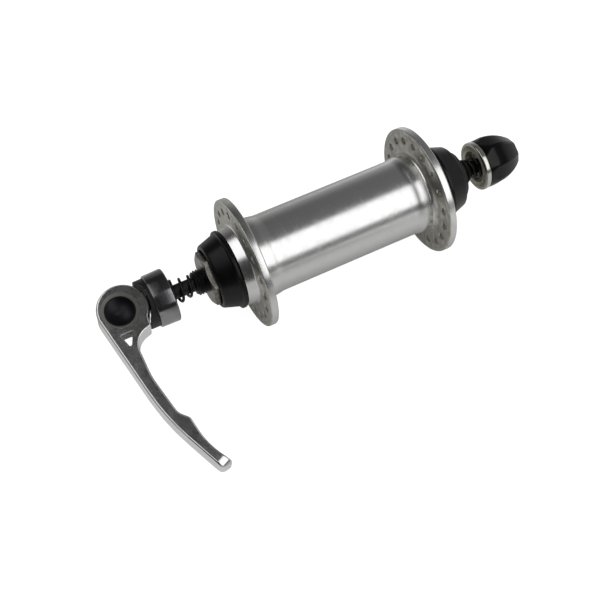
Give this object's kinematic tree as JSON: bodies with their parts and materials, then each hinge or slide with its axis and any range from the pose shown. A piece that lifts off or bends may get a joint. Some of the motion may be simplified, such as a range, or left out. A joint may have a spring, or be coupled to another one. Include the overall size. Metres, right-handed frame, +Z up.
{
  "type": "bicycle front hub",
  "caption": "Bicycle front hub: flanged aluminium shell on a threaded axle with cup-and-cone bearings, rubber boots and a quick-release skewer with a cam lever.",
  "frame": {"origin": "hub centre: on the axle's axis, halfway between the two locknut faces", "axes": "+Y along the axle to the lever side, +Z up, +X forward; the hub lies on its flanges and the tip of the closed lever"},
  "size_m": [0.0838, 0.162, 0.0468],
  "materials": {
    "shell_aluminium": "satin polished, fine turning lines round the barrel",
    "black_steel": "blackened steel, threaded ends",
    "spring_wire": "black coated spring wire",
    "dark_steel": "dark plated steel",
    "plain_steel": "plain zinc-grey steel",
    "bearing_steel": "hardened and ground steel",
    "black_rubber": "matt black rubber with a slight sheen",
    "lever_aluminium": "polished forged aluminium",
    "black_plastic": "black nylon",
    "dark_chrome": "dark polished chrome plate",
    "bright_chrome": "polished chrome plate",
    "gloss_black_plastic": "glossy black moulded plastic"
  },
  "bodies": {
    "axle_group": {"axle": "black_steel", "cone_left": "bearing_steel", "cone_right": "bearing_steel", "lock_washer_left": "plain_steel", "lock_washer_right": "plain_steel", "locknut_left": "plain_steel", "locknut_right": "dark_steel", "rubber_boot_left": "black_rubber", "rubber_boot_right": "black_rubber"},
    "shell": {"hub_shell": "shell_aluminium", "bearing_cup_left": "bearing_steel", "bearing_cup_right": "bearing_steel", "dust_cap_left": "plain_steel", "dust_cap_right": "plain_steel"},
    "balls_left": {"bearing_balls_left": "bearing_steel"},
    "balls_right": {"bearing_balls_right": "bearing_steel"},
    "left_spring": {"spring_left": "spring_wire"},
    "skewer": {"skewer_rod": "black_steel", "cam_pin": "dark_steel"},
    "lever": {"lever": "lever_aluminium"},
    "clamp": {"clamp_cup": "dark_chrome", "cam_saddle": "black_plastic"},
    "right_spring": {"spring_right": "spring_wire"},
    "nut": {"adjusting_nut_core": "bright_chrome", "adjusting_nut_grip": "gloss_black_plastic"}
  },
  "joints": [
    {"name": "shell_spin", "type": "hinge", "parent": "axle_group", "child": "shell", "pos_m": [0, 0, 0], "axis": [0, 1, 0], "continuous": true},
    {"name": "balls_left_roll", "type": "hinge", "parent": "axle_group", "child": "balls_left", "pos_m": [0, 0.033, 0], "axis": [0, 1, 0], "continuous": true},
    {"name": "balls_right_roll", "type": "hinge", "parent": "axle_group", "child": "balls_right", "pos_m": [0, -0.033, 0], "axis": [0, 1, 0], "continuous": true},
    {"name": "skewer_float", "type": "slide", "parent": "axle_group", "child": "left_spring", "axis": [0, 1, 0], "range_m": [-0.006, 0.0015], "stiffness_N_per_m": 400, "deforming": ["spring_left", "spring_right"]},
    {"name": "skewer_turn", "type": "hinge", "parent": "left_spring", "child": "skewer", "pos_m": [0, 0, 0], "axis": [0, 1, 0], "continuous": true},
    {"name": "lever_swing", "type": "hinge", "parent": "skewer", "child": "lever", "pos_m": [0, 0.08065, 0], "axis": [0.304, 0, -0.9527], "range_deg": [0, 165]},
    {"name": "clamp_slide", "type": "slide", "parent": "skewer", "child": "clamp", "axis": [0, 1, 0], "range_m": [0, 0.00183], "deforming": ["spring_left"]},
    {"name": "nut_travel", "type": "slide", "parent": "skewer", "child": "right_spring", "axis": [0, 1, 0], "range_m": [-0.0016, 0.0016], "deforming": ["spring_right"]},
    {"name": "nut_turn", "type": "hinge", "parent": "right_spring", "child": "nut", "pos_m": [0, -0.065, 0], "axis": [0, 1, 0], "range_deg": [-720, 720]}
  ],
  "couplings": [
    {"joint": "balls_left_roll", "follows": "shell_spin", "ratio": 0.6074},
    {"joint": "balls_right_roll", "follows": "shell_spin", "ratio": 0.6074},
    {"joint": "lever_swing", "follows": "clamp_slide", "rad_per_m": 1570.8},
    {"joint": "nut_turn", "follows": "nut_travel", "rad_per_m": 7854}
  ]
}
